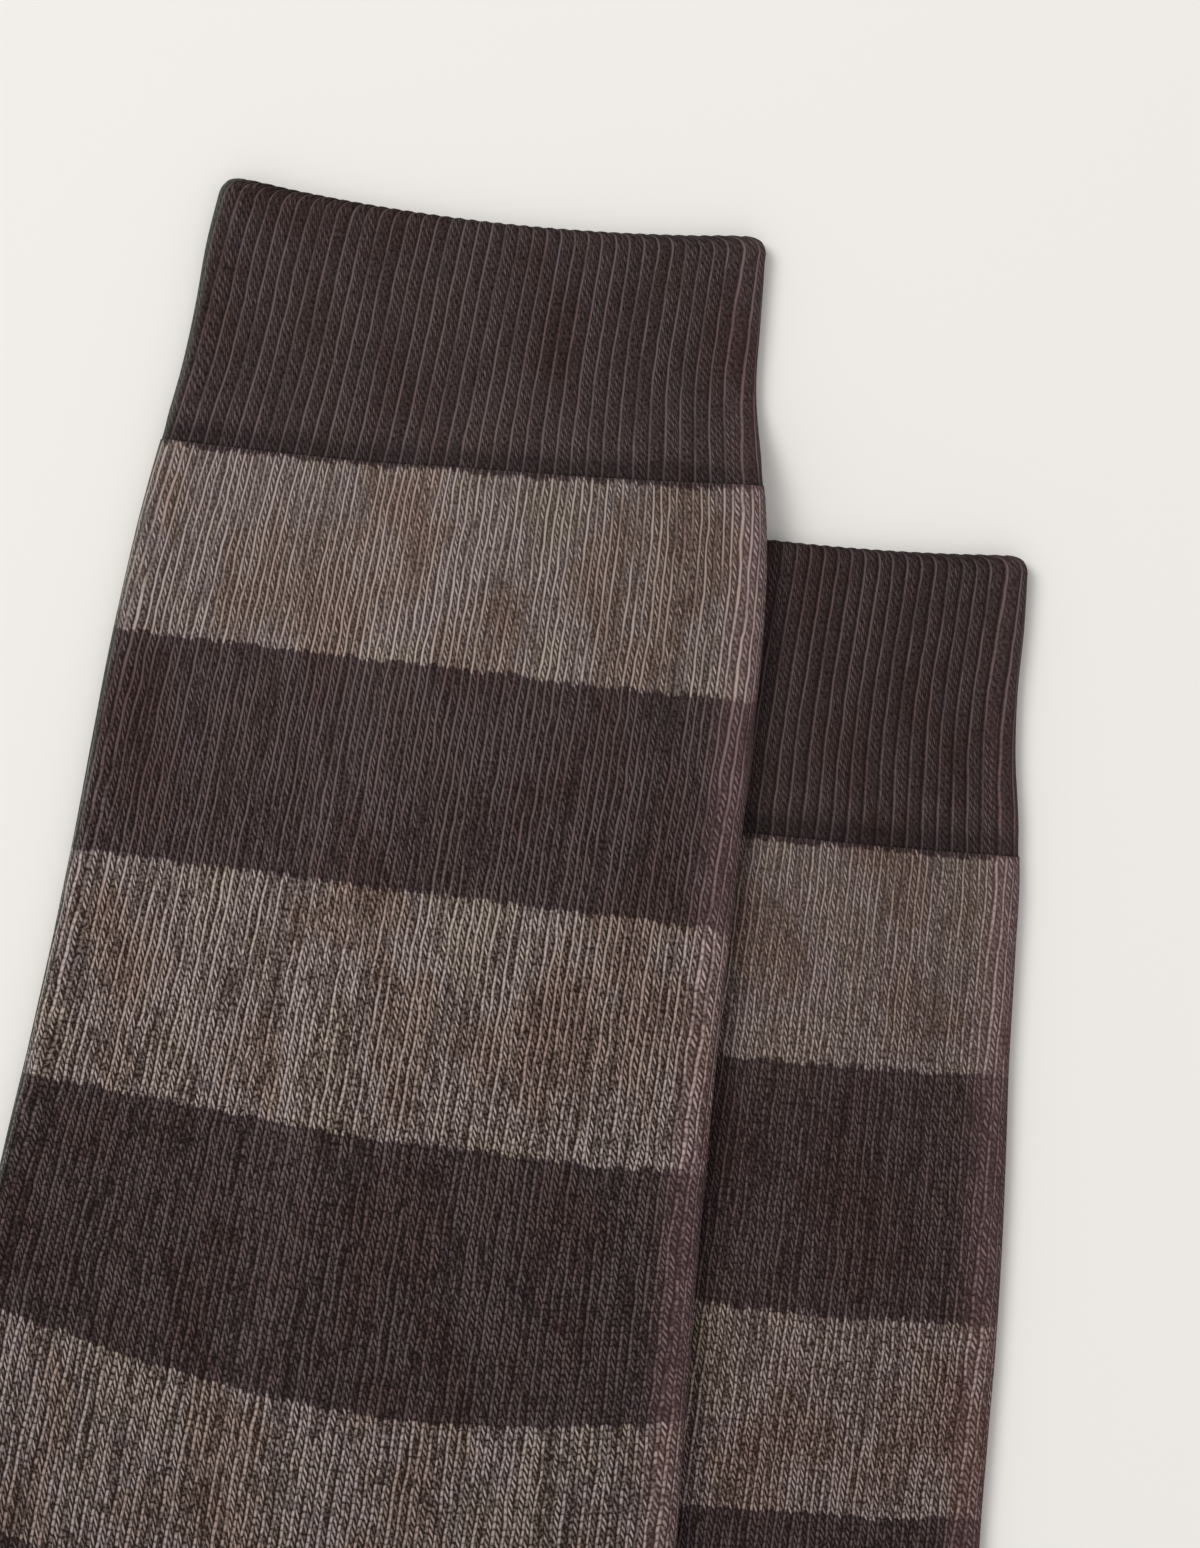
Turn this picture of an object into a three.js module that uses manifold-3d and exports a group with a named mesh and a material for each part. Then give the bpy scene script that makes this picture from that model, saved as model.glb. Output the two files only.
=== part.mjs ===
import * as THREE from "three";
import Module from "manifold-3d";

// A pair of striped knee-high socks laid flat. Each sock is a knitted tube pressed flat, so it is
// two walls of cloth with a thin slit between them, joined round the side folds. The upper sock
// lies partly over the lower one. Millimetres, +Z up, the underside rests at z = 0.

// Cloth
const WALL = 1.4;
const SLIT = 0.5;
const FOLD_PUFF = 0.9;
const FOLD_REACH = 9;
const SEAM_GAP = 0.3;

// Ribbed cuff: one crest and one valley for each rib, on the face that shows
const FACE_RIBS = 38;
const RIB_HEIGHT = 0.35;
const CORNER_RADIUS = 2.6;

// Length of the leg down to the heel turn, then the turn, the foot and the toe, along the middle
const LEG_LENGTH = 335;
const TURN_ANGLE = THREE.MathUtils.degToRad(65);
const TURN_RADIUS = 62;
const TURN_LENGTH = TURN_ANGLE * TURN_RADIUS;
const FOOT_LENGTH = 110;
const TOE_LENGTH = 50;
const TURN_END = LEG_LENGTH + TURN_LENGTH;
const TOE_START = TURN_END + FOOT_LENGTH;

// The toe's outline closes as a power curve, and its tip is rounded off over its last stations
const TOE_POWER = 2.6;
const TIP_SQUEEZE = 0.4;
const TIP_HALF_WIDTH = 5;

// Heel pocket: a wedge whose point lies near the middle of the ankle
const HEEL_POINT = { down: LEG_LENGTH + TURN_LENGTH / 2, across: -0.08 };
const HEEL_TOP = { down: LEG_LENGTH + 0.06 * TURN_LENGTH, across: 1.25 };
const HEEL_SOLE = { down: LEG_LENGTH + 0.94 * TURN_LENGTH, across: 1.25 };
const HEEL_OUTSIDE = 2.2;
const WEDGE_MARGIN = 2;

// How the upper sock climbs over the lower one's edge
const REST_GAP = 0.45;
const DRAPE_START = -21;
const DRAPE_END = -5;

// Half-widths to the left and right of the middle line, by distance down the sock
const SHARED_ANKLE = [
  { down: 300, left: 51.5, right: 51 },
  { down: 335, left: 46, right: 47 },
  { down: 353, left: 44.5, right: 53 },
  { down: 370, left: 44, right: 57.5 },
  { down: 387, left: 44, right: 54 },
  { down: 406, left: 44, right: 47 },
  { down: 432, left: 43, right: 43 },
  { down: 470, left: 41.5, right: 42.5 },
  { down: 516, left: 41, right: 42 },
  { down: 566, left: 40, right: 41 },
];
const UPPER_WIDTHS = [
  { down: 0, left: 44.1, right: 44.1 },
  { down: 10, left: 45.1, right: 44.8 },
  { down: 20, left: 45.4, right: 45.6 },
  { down: 30, left: 46.1, right: 47.6 },
  { down: 40, left: 47.5, right: 50 },
  { down: 50, left: 48.9, right: 51.6 },
  { down: 60, left: 49.9, right: 52.5 },
  { down: 80, left: 51.3, right: 53.4 },
  { down: 110, left: 52.5, right: 54.3 },
  { down: 140, left: 54.5, right: 55.6 },
  { down: 160, left: 56.3, right: 56.7 },
  { down: 185, left: 58.3, right: 58.5 },
  { down: 215, left: 60, right: 60.4 },
  { down: 240, left: 60.2, right: 60.4 },
  { down: 265, left: 58.2, right: 58 },
  ...SHARED_ANKLE,
];
const LOWER_WIDTHS = [
  { down: 0, left: 43.9, right: 43.9 },
  { down: 10, left: 44.3, right: 44.3 },
  { down: 20, left: 44.4, right: 44.4 },
  { down: 30, left: 45.2, right: 45.2 },
  { down: 40, left: 46.8, right: 46.8 },
  { down: 50, left: 48.2, right: 48.2 },
  { down: 60, left: 48.8, right: 48.8 },
  { down: 80, left: 49.9, right: 49.9 },
  { down: 100, left: 51.5, right: 51.5 },
  { down: 125, left: 52.9, right: 52.9 },
  { down: 155, left: 53.8, right: 53.8 },
  { down: 185, left: 55.6, right: 55.6 },
  { down: 215, left: 57.6, right: 57.6 },
  { down: 240, left: 58.4, right: 58.4 },
  { down: 265, left: 57.2, right: 57 },
  ...SHARED_ANKLE,
];

// How each row of knitting lies: bow is how far its ends sit above its middle, slant lifts its left
// end against its right one
const UPPER_COURSES = [
  { down: 0, bow: 2.5, slant: -1.4 },
  { down: 40, bow: 1.15, slant: -3.2 },
  { down: 72, bow: 0.4, slant: -1.5 },
  { down: 109, bow: 0.2, slant: -1.3 },
  { down: 148, bow: 1.9, slant: 0 },
  { down: 192, bow: 8.2, slant: 1.2 },
  { down: 225, bow: 7.4, slant: 0.8 },
  { down: 290, bow: 4, slant: 0 },
  { down: 566, bow: 0, slant: 0 },
];
const LOWER_COURSES = [
  { down: 0, bow: 2.3, slant: 0.4 },
  { down: 47, bow: 1.1, slant: 0 },
  { down: 83, bow: 1.9, slant: 0 },
  { down: 124, bow: 2, slant: 0 },
  { down: 156, bow: 3, slant: 0 },
  { down: 220, bow: 5, slant: 0 },
  { down: 290, bow: 3.5, slant: 0 },
  { down: 566, bow: 0, slant: 0 },
];

// Stations down each sock, where a ring of points is worked out
const LEG_STATIONS = [64, 84, 108, 132, 156, 180, 204, 228, 252, 276, 300, 320, LEG_LENGTH];
const TURN_STEPS = 8;
const FOOT_STEPS = 5;
const TOE_STATIONS = [0.2, 0.38, 0.54, 0.68, 0.8, 0.9, 0.965, 1];

// Each sock: the middle of its mouth, its lean away from straight down, its cuff and its tables
const LOWER = {
  name: "lower",
  mouth: new THREE.Vector2(25.3, 38),
  lean: THREE.MathUtils.degToRad(6.5),
  cuffLength: 47.3,
  widths: LOWER_WIDTHS,
  courses: LOWER_COURSES,
  cuffStations: [1.3, 16, 32],
  nearCuff: [55],
  topSteps: 10,
  bottomSteps: 4,
};
const UPPER = {
  name: "upper",
  mouth: new THREE.Vector2(-17.2, 88.9),
  lean: THREE.MathUtils.degToRad(8.4),
  cuffLength: 40.3,
  widths: UPPER_WIDTHS,
  courses: UPPER_COURSES,
  cuffStations: [1.3, 13, 25, 33],
  nearCuff: [45, 50, 56],
  topSteps: 18,
  bottomSteps: 14,
};

const FOLD_STEPS = 4;
const EVEN_SHARE = 0.45;
const MOUTH_STATIONS = [0, 1.3, 25, 50];

const DARK_YARN = { color: 0x3c3130, roughness: 0.95, metalness: 0 };
const TAUPE_YARN = { color: 0x665a53, roughness: 0.95, metalness: 0 };

// Smooth curve through one column of a table
function readTable(rows, column, down) {
  const last = rows.length - 1;
  const slope = (i) => {
    const a = rows[Math.max(i - 1, 0)];
    const b = rows[Math.min(i + 1, last)];
    return (b[column] - a[column]) / (b.down - a.down);
  };
  const held = THREE.MathUtils.clamp(down, rows[0].down, rows[last].down);
  const i = Math.min(Math.max(rows.findIndex((row) => row.down > held) - 1, 0), last - 1);
  const low = held >= rows[last].down ? last - 1 : i;
  const a = rows[low];
  const b = rows[low + 1];
  const step = b.down - a.down;
  const t = (held - a.down) / step;
  const bend = t * t * (3 - 2 * t);
  const leave = t * (1 - t) * (1 - t) * step;
  const arrive = t * t * (t - 1) * step;
  return a[column] * (1 - bend) + b[column] * bend + slope(low) * leave + slope(low + 1) * arrive;
}

// The middle line: straight down the leg, round the turn about a pivot beyond the instep, then
// straight along the foot. Returns the point and the direction across the sock, to its heel side.
function middleLine(sock, down) {
  const heading = -Math.PI / 2 - sock.lean;
  const ahead = new THREE.Vector2(Math.cos(heading), Math.sin(heading));
  const across = new THREE.Vector2(-ahead.y, ahead.x);
  if (down <= LEG_LENGTH) {
    return { point: sock.mouth.clone().addScaledVector(ahead, down), across };
  }
  const pivot = sock.mouth.clone().addScaledVector(ahead, LEG_LENGTH);
  pivot.addScaledVector(across, -TURN_RADIUS);
  const turned = Math.min((down - LEG_LENGTH) / TURN_RADIUS, TURN_ANGLE);
  const origin = new THREE.Vector2();
  across.rotateAround(origin, -turned);
  ahead.rotateAround(origin, -turned);
  const point = pivot.addScaledVector(across, TURN_RADIUS);
  point.addScaledVector(ahead, Math.max(down - TURN_END, 0));
  return { point, across };
}

// Narrowing of the half-width at the mouth's rounded corners and along the toe
function narrowing(down, halfWidth) {
  if (down < CORNER_RADIUS) {
    const rise = CORNER_RADIUS - Math.max(down, 0);
    return halfWidth - CORNER_RADIUS + Math.sqrt(CORNER_RADIUS ** 2 - rise ** 2);
  }
  const t = THREE.MathUtils.clamp((down - TOE_START) / TOE_LENGTH, 0, 1);
  return Math.max(halfWidth * Math.sqrt(1 - t ** TOE_POWER), TIP_HALF_WIDTH);
}

// A place on the flat sock: down its length, and across from -1 at its left fold to 1 at its right.
// inset moves it in from the fold, in millimetres.
function place(sock, down, across, inset = 0) {
  const bow = readTable(sock.courses, "bow", down);
  const slant = readTable(sock.courses, "slant", down);
  const level = down - bow * across ** 2 + slant * across;
  const side = across < 0 ? "left" : "right";
  const halfWidth = narrowing(down, readTable(sock.widths, side, level)) - inset;
  const line = middleLine(sock, level);
  return line.point.addScaledVector(line.across, across * halfWidth);
}

// Outline of a sock seen from above, once round
function outline(sock) {
  const stations = [...MOUTH_STATIONS, ...LEG_STATIONS, ...turnStations(), ...footStations()];
  const toe = TOE_STATIONS.map((t) => TOE_START + t * TOE_LENGTH);
  const downs = [...stations, ...toe];
  const right = downs.map((down) => place(sock, down, 1));
  const left = downs.map((down) => place(sock, down, -1));
  return [...right, ...left.reverse()];
}

function turnStations() {
  const step = TURN_LENGTH / TURN_STEPS;
  return Array.from({ length: TURN_STEPS }, (_, i) => LEG_LENGTH + (i + 1) * step);
}

function footStations() {
  const step = FOOT_LENGTH / FOOT_STEPS;
  return Array.from({ length: FOOT_STEPS }, (_, i) => TURN_END + (i + 1) * step);
}

// Distance from a point to a closed outline, positive inside
function depthInside(polygon, point) {
  let nearest = Infinity;
  let inside = false;
  polygon.forEach((a, i) => {
    const b = polygon[(i + 1) % polygon.length];
    const edge = b.clone().sub(a);
    const reach = point.clone().sub(a);
    const t = THREE.MathUtils.clamp(reach.dot(edge) / edge.lengthSq(), 0, 1);
    nearest = Math.min(nearest, reach.addScaledVector(edge, -t).length());
    const crosses = a.y > point.y !== b.y > point.y;
    if (crosses && point.x < a.x + ((point.y - a.y) / edge.y) * edge.x) {
      inside = !inside;
    }
  });
  return inside ? nearest : -nearest;
}

const LOWER_OUTLINE = outline(LOWER);
const FLAT_HEIGHT = 2 * WALL + SLIT;
const FOLD_RADIUS = (FLAT_HEIGHT + FOLD_PUFF) / 2;
const LIFT_HEIGHT = 2 * FOLD_RADIUS + RIB_HEIGHT + REST_GAP;

// How far the upper sock is raised at a point by the lower one under it
function lift(sock, point) {
  if (sock !== UPPER) {
    return 0;
  }
  const depth = depthInside(LOWER_OUTLINE, point);
  return LIFT_HEIGHT * THREE.MathUtils.smoothstep(depth, DRAPE_START, DRAPE_END);
}

// One ring of points round the flat tube, outside or inside its wall. It runs over the top from the
// left fold, round the right fold, back underneath and round the left fold.
function ring(sock, down, { inner = false, ribs = 0, squeeze = 1, tip = 0 }) {
  const topSteps = ribs > 0 ? 2 * ribs : sock.topSteps;
  const radius = inner ? FOLD_RADIUS - WALL : FOLD_RADIUS;
  const points = [];
  const add = (across, beyond, height) => {
    const spot = place(sock, down - (inner ? tip : 0), across, FOLD_RADIUS);
    const line = middleLine(sock, down);
    const raised = lift(sock, spot);
    spot.addScaledVector(line.across, beyond);
    const z = FOLD_RADIUS + (height - FOLD_RADIUS) * squeeze;
    points.push(new THREE.Vector3(spot.x, spot.y, z + raised));
  };
  const topHeight = (across) => {
    const halfWidth = readTable(sock.widths, "left", down);
    const fromFold = (1 - Math.abs(across)) * halfWidth;
    const puff = FOLD_PUFF * (1 - THREE.MathUtils.smoothstep(fromFold, 0, FOLD_REACH));
    return FLAT_HEIGHT + puff - (inner ? WALL : 0);
  };
  for (let i = 0; i <= topSteps; i += 1) {
    const across = spread(i / topSteps, ribs);
    const crest = !inner && ribs > 0 && i % 2 === 1 ? RIB_HEIGHT : 0;
    add(across, 0, topHeight(across) + crest);
  }
  for (let i = 1; i < FOLD_STEPS; i += 1) {
    const angle = Math.PI / 2 - (i / FOLD_STEPS) * Math.PI;
    add(1, radius * Math.cos(angle), FOLD_RADIUS + radius * Math.sin(angle));
  }
  for (let i = 0; i <= sock.bottomSteps; i += 1) {
    add(-spread(i / sock.bottomSteps, 0), 0, inner ? WALL : 0);
  }
  for (let i = 1; i < FOLD_STEPS; i += 1) {
    const angle = Math.PI / 2 - (i / FOLD_STEPS) * Math.PI;
    add(-1, -radius * Math.cos(angle), FOLD_RADIUS - radius * Math.sin(angle));
  }
  return points;
}

// Places across the sock from -1 to 1, even for ribs and otherwise closer near the folds
function spread(t, ribs) {
  const even = 2 * t - 1;
  return ribs > 0 ? even : EVEN_SHARE * even + (1 - EVEN_SHARE) * Math.sin((even * Math.PI) / 2);
}

// Closed solid from outer and inner rings. With a closed end, both walls are capped there.
function tube(outer, inner, closedEnd) {
  const count = outer[0].length;
  const points = [...outer.flat(), ...inner.flat()];
  const triangles = [];
  const outerAt = (row, i) => row * count + (i % count);
  const innerAt = (row, i) => (outer.length + row) * count + (i % count);
  const quad = (a, b, c, d) => triangles.push(a, b, c, a, c, d);
  for (let row = 0; row + 1 < outer.length; row += 1) {
    for (let i = 0; i < count; i += 1) {
      quad(outerAt(row, i), outerAt(row + 1, i), outerAt(row + 1, i + 1), outerAt(row, i + 1));
      quad(innerAt(row, i), innerAt(row, i + 1), innerAt(row + 1, i + 1), innerAt(row + 1, i));
    }
  }
  const end = outer.length - 1;
  for (let i = 0; i < count; i += 1) {
    quad(innerAt(0, i), outerAt(0, i), outerAt(0, i + 1), innerAt(0, i + 1));
    if (!closedEnd) {
      quad(outerAt(end, i), innerAt(end, i), innerAt(end, i + 1), outerAt(end, i + 1));
    }
  }
  if (closedEnd) {
    const middle = (rings) => {
      const sum = rings[end].reduce((total, point) => total.add(point), new THREE.Vector3());
      return sum.divideScalar(count);
    };
    const outerMiddle = points.push(middle(outer)) - 1;
    const innerMiddle = points.push(middle(inner)) - 1;
    for (let i = 0; i < count; i += 1) {
      triangles.push(outerAt(end, i), outerMiddle, outerAt(end, i + 1));
      triangles.push(innerAt(end, i + 1), innerMiddle, innerAt(end, i));
    }
  }
  return solidGeometry(points.flatMap((point) => [point.x, point.y, point.z]), triangles);
}

function solidGeometry(positions, triangles) {
  const geometry = new THREE.BufferGeometry();
  geometry.setAttribute("position", new THREE.Float32BufferAttribute(positions, 3));
  geometry.setIndex(triangles);
  geometry.computeVertexNormals();
  return geometry;
}

function tubeBetween(sock, stations, options = {}) {
  const outer = stations.map((down) => ring(sock, down, options));
  const inner = stations.map((down) => ring(sock, down, { ...options, inner: true }));
  return tube(outer, inner, false);
}

// The toe cap is closed. Its inner wall stops a wall's thickness short of the tip.
function toeCap(sock) {
  const shares = [0, ...TOE_STATIONS];
  const first = TOE_START + SEAM_GAP / 2;
  const rings = (inner) =>
    shares.map((share) => {
      const down = first + share * (TOE_LENGTH - SEAM_GAP / 2);
      const squeeze = share === 1 ? TIP_SQUEEZE : 1;
      return ring(sock, down, { inner, squeeze, tip: share * 2 * WALL });
    });
  return tube(rings(false), rings(true), true);
}

// Upright wedge over the heel pocket, moved out by grow on both of its gore lines
function heelWedge(sock, grow) {
  const point = place(sock, HEEL_POINT.down, HEEL_POINT.across);
  const top = place(sock, HEEL_TOP.down, HEEL_TOP.across);
  const sole = place(sock, HEEL_SOLE.down, HEEL_SOLE.across);
  const outside = place(sock, HEEL_POINT.down, HEEL_OUTSIDE);
  const toTop = top.clone().sub(point).normalize();
  const toSole = sole.clone().sub(point).normalize();
  const halfOpening = Math.acos(toTop.dot(toSole)) / 2;
  const inward = toTop.clone().add(toSole).normalize();
  const corners = [
    point.clone().addScaledVector(inward, -grow / Math.sin(halfOpening)),
    sole.clone().addScaledVector(new THREE.Vector2(toSole.y, -toSole.x), grow),
    outside,
    top.clone().addScaledVector(new THREE.Vector2(-toTop.y, toTop.x), grow),
  ];
  const depth = LIFT_HEIGHT + 2 * FOLD_RADIUS + 2 * WEDGE_MARGIN;
  const wedge = new THREE.ExtrudeGeometry(new THREE.Shape(corners), { depth, bevelEnabled: false });
  wedge.translate(0, 0, -WEDGE_MARGIN);
  return wedge;
}

const wasm = await Module();
wasm.setup();

// Closed mesh with shared vertices joined, as a solid for cutting
function toSolid(geometry) {
  const positions = geometry.getAttribute("position");
  const index = geometry.getIndex();
  const inOrder = Array.from({ length: positions.count }, (_, i) => i);
  const corners = index ? Array.from(index.array) : inOrder;
  const seen = new Map();
  const values = [];
  const triVerts = corners.map((corner) => {
    const xyz = [positions.getX(corner), positions.getY(corner), positions.getZ(corner)];
    const key = xyz.map((value) => value.toFixed(4)).join(" ");
    if (!seen.has(key)) {
      seen.set(key, values.length / 3);
      values.push(...xyz);
    }
    return seen.get(key);
  });
  const mesh = new wasm.Mesh({
    numProp: 3,
    vertProperties: new Float32Array(values),
    triVerts: new Uint32Array(triVerts),
  });
  return new wasm.Manifold(mesh);
}

function fromSolid(solid) {
  const mesh = solid.getMesh();
  return solidGeometry(Array.from(mesh.vertProperties), Array.from(mesh.triVerts));
}

function named(name, geometry, yarn) {
  const mesh = new THREE.Mesh(geometry, new THREE.MeshStandardMaterial(yarn));
  mesh.name = name;
  return mesh;
}

function buildSock(sock) {
  const cuffStations = [0, ...sock.cuffStations, sock.cuffLength - SEAM_GAP / 2];
  const cuff = tubeBetween(sock, cuffStations, { ribs: FACE_RIBS });
  const legStations = [sock.cuffLength + SEAM_GAP / 2, ...sock.nearCuff, ...LEG_STATIONS];
  const footStart = [...turnStations(), ...footStations().slice(0, -1)];
  const legAndFoot = toSolid(
    tubeBetween(sock, [...legStations, ...footStart, TOE_START - SEAM_GAP / 2]),
  );
  const leg = legAndFoot.subtract(toSolid(heelWedge(sock, SEAM_GAP / 2)));
  const heel = legAndFoot.intersect(toSolid(heelWedge(sock, -SEAM_GAP / 2)));
  return [
    named(`${sock.name}_cuff`, cuff, DARK_YARN),
    named(`${sock.name}_leg_and_foot`, fromSolid(leg), TAUPE_YARN),
    named(`${sock.name}_heel`, fromSolid(heel), DARK_YARN),
    named(`${sock.name}_toe`, toeCap(sock), DARK_YARN),
  ];
}

// The origin is the middle of the pair's footprint, on the surface it lies on
const group = new THREE.Group();
group.add(...buildSock(LOWER), ...buildSock(UPPER));
const box = new THREE.Box3().setFromObject(group);
const middle = box.getCenter(new THREE.Vector3());
group.children.forEach((mesh) => mesh.position.set(-middle.x, -middle.y, -box.min.z));

export default group;
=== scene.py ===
# %% [markdown]
# # A pair of striped knee-high socks, laid flat
# This script dresses a pair of knitted socks in Blender. Each sock is one tube of knitting that has
# been pressed flat, so everything here is a surface worked out from two numbers: how far down the
# sock a point is, and how far round the tube. numpy works out all the points at once.

import bpy
import numpy as np
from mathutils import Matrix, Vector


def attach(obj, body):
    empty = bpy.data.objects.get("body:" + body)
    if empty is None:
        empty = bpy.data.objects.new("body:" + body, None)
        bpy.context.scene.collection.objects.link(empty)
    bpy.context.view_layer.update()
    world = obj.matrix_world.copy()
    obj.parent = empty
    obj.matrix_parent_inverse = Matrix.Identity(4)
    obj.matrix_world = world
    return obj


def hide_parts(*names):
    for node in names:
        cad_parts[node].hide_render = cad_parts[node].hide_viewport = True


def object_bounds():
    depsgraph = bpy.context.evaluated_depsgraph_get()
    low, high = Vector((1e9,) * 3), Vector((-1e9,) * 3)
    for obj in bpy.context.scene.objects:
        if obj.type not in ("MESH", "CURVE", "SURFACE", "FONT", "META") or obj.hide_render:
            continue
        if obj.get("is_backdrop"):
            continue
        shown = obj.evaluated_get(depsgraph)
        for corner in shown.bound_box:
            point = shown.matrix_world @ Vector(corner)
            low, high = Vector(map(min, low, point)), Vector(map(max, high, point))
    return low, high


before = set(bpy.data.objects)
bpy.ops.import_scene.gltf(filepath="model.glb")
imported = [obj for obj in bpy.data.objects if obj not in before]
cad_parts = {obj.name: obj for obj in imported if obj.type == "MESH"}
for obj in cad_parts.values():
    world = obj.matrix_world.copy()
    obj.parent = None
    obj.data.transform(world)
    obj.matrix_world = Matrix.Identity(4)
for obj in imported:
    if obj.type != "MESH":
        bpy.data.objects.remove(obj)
cad_low, cad_high = (np.array(corner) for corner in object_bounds())
MM = 0.001
print("the packed pair measures", np.round((cad_high - cad_low) / MM, 1), "mm")

# %% [markdown]
# ## The sizes that shape a sock
# A flat sock is described by a middle line, by how wide it is on either side of that line, and by
# how its rows of knitting lie. Tables with a row for each place down the sock are easy to read and
# change. A smooth curve through each column fills in everything between the rows.

# %% Sizes of the pair
# All in millimetres: the cloth's thickness, the gap inside the flat sock, and how far its side
# folds stand up and reach in
WALL = 1.4
SLIT = 0.5
FOLD_PUFF = 0.9
FOLD_REACH = 9.0
CORNER_RADIUS = 2.6
LEG_LENGTH = 335.0
TURN_ANGLE = np.radians(65)
TURN_RADIUS = 62.0
TURN_END = LEG_LENGTH + TURN_ANGLE * TURN_RADIUS
TOE_START = TURN_END + 110.0
TOE_LENGTH = 50.0
TOE_END = TOE_START + TOE_LENGTH
TOE_POWER = 2.6
FLAT_HEIGHT = 2 * WALL + SLIT
FOLD_RADIUS = (FLAT_HEIGHT + FOLD_PUFF) / 2

# Columns: distance down the sock, half-width to the left, half-width to the right
SHARED_ANKLE = [
    (300, 51.5, 51), (335, 46, 47), (353, 44.5, 53), (370, 44, 57.5), (387, 44, 54),
    (406, 44, 47), (432, 43, 43), (470, 41.5, 42.5), (516, 41, 42), (566, 40, 41),
]
UPPER_WIDTHS = [
    (0, 44.1, 44.1), (10, 45.1, 44.8), (20, 45.4, 45.6), (30, 46.1, 47.6), (40, 47.5, 50),
    (50, 48.9, 51.6), (60, 49.9, 52.5), (80, 51.3, 53.4), (110, 52.5, 54.3),
    (140, 54.5, 55.6), (160, 56.3, 56.7), (185, 58.3, 58.5), (215, 60, 60.4),
    (240, 60.2, 60.4), (265, 58.2, 58), *SHARED_ANKLE,
]
LOWER_WIDTHS = [
    (0, 43.9, 43.9), (10, 44.3, 44.3), (20, 44.4, 44.4), (30, 45.2, 45.2), (40, 46.8, 46.8),
    (50, 48.2, 48.2), (60, 48.8, 48.8), (80, 49.9, 49.9), (100, 51.5, 51.5),
    (125, 52.9, 52.9), (155, 53.8, 53.8), (185, 55.6, 55.6), (215, 57.6, 57.6),
    (240, 58.4, 58.4), (265, 57.2, 57), *SHARED_ANKLE,
]
# Columns: distance down, how far the ends of a row of knitting sit above its middle, its slant
UPPER_COURSES = [
    (0, 2.5, -1.4), (40, 1.15, -3.2), (72, 0.4, -1.5), (109, 0.2, -1.3), (148, 1.9, 0),
    (192, 8.2, 1.2), (225, 7.4, 0.8), (290, 4, 0), (566, 0, 0),
]
LOWER_COURSES = [
    (0, 2.3, 0.4), (47, 1.1, 0), (83, 1.9, 0), (124, 2, 0), (156, 3, 0), (220, 5, 0),
    (290, 3.5, 0), (566, 0, 0),
]

# Each yarn has a deep colour, the painted shade between the stitches, and a light colour, the
# painted light on top of them.
LOWER = {
    "name": "lower", "mouth": np.array([25.3, 38.0]), "lean": np.radians(6.5), "cuff": 47.3,
    "widths": LOWER_WIDTHS, "courses": LOWER_COURSES, "seed": 5,
    "opens": (10.0, 75.0), "groove": 0.7, "dark_shaded": "#190d0c", "dark_lit": "#6a5b5c",
    "taupe_shaded": "#2f2019", "taupe_lit": "#b4a6a3",
    "stripes": [48.0, 83.2, 123.5, 155.8, 196, 236, 276, 318, 420, 460],
}
UPPER = {
    "name": "upper", "mouth": np.array([-17.2, 88.9]), "lean": np.radians(8.4), "cuff": 40.3,
    "widths": UPPER_WIDTHS, "courses": UPPER_COURSES, "seed": 11,
    "opens": (50.0, 130.0), "groove": 0.3, "dark_shaded": "#180d0c", "dark_lit": "#706263",
    "taupe_shaded": "#2a1c15", "taupe_lit": "#c0b4b0",
    "stripes": [41.0, 72.3, 108.6, 148.1, 192.1, 225.4, 268, 312, 418, 458],
}
print("each sock is", round(TOE_END), "mm long along its middle")

# %% [markdown]
# ## From a place on the sock to a place on the table
# The middle line runs straight down the leg, round the heel turn about a pivot in front of the
# instep, and straight along the foot. These functions take whole arrays, so one call places every
# point of a sock.

# %% The curve through a table, the middle line and the outline
def read_table(rows, column, down):
    """Cubic curve through one column: each row's slope is that between the rows beside it."""
    table = np.array(rows, float)
    x, y = table[:, 0], table[:, column]
    before = np.maximum(np.arange(len(x)) - 1, 0)
    after = np.minimum(np.arange(len(x)) + 1, len(x) - 1)
    slope = (y[after] - y[before]) / (x[after] - x[before])
    down = np.clip(down, x[0], x[-1])
    low = np.clip(np.searchsorted(x, down, side="right") - 1, 0, len(x) - 2)
    step = x[low + 1] - x[low]
    t = (down - x[low]) / step
    bend = t * t * (3 - 2 * t)
    leave = slope[low] * t * (1 - t) ** 2 * step
    arrive = slope[low + 1] * t * t * (t - 1) * step
    return y[low] * (1 - bend) + y[low + 1] * bend + leave + arrive


def turn(vector, angle):
    """The flat vector turned clockwise by each angle."""
    c, s = np.cos(angle), np.sin(angle)
    return np.stack([vector[0] * c + vector[1] * s, vector[1] * c - vector[0] * s], axis=-1)


def middle_line(sock, down):
    """Point on the middle line, the direction across towards the heel side, and that ahead."""
    ahead = np.array([-np.sin(sock["lean"]), -np.cos(sock["lean"])])
    across = np.array([-ahead[1], ahead[0]])
    pivot = sock["mouth"] + ahead * LEG_LENGTH - across * TURN_RADIUS
    turned = np.clip((down - LEG_LENGTH) / TURN_RADIUS, 0, TURN_ANGLE)
    side, onward = turn(across, turned), turn(ahead, turned)
    before = np.minimum(down - LEG_LENGTH, 0)[..., None]
    beyond = np.maximum(down - TURN_END, 0)[..., None]
    return pivot + side * TURN_RADIUS + ahead * before + onward * beyond, side, onward


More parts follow.
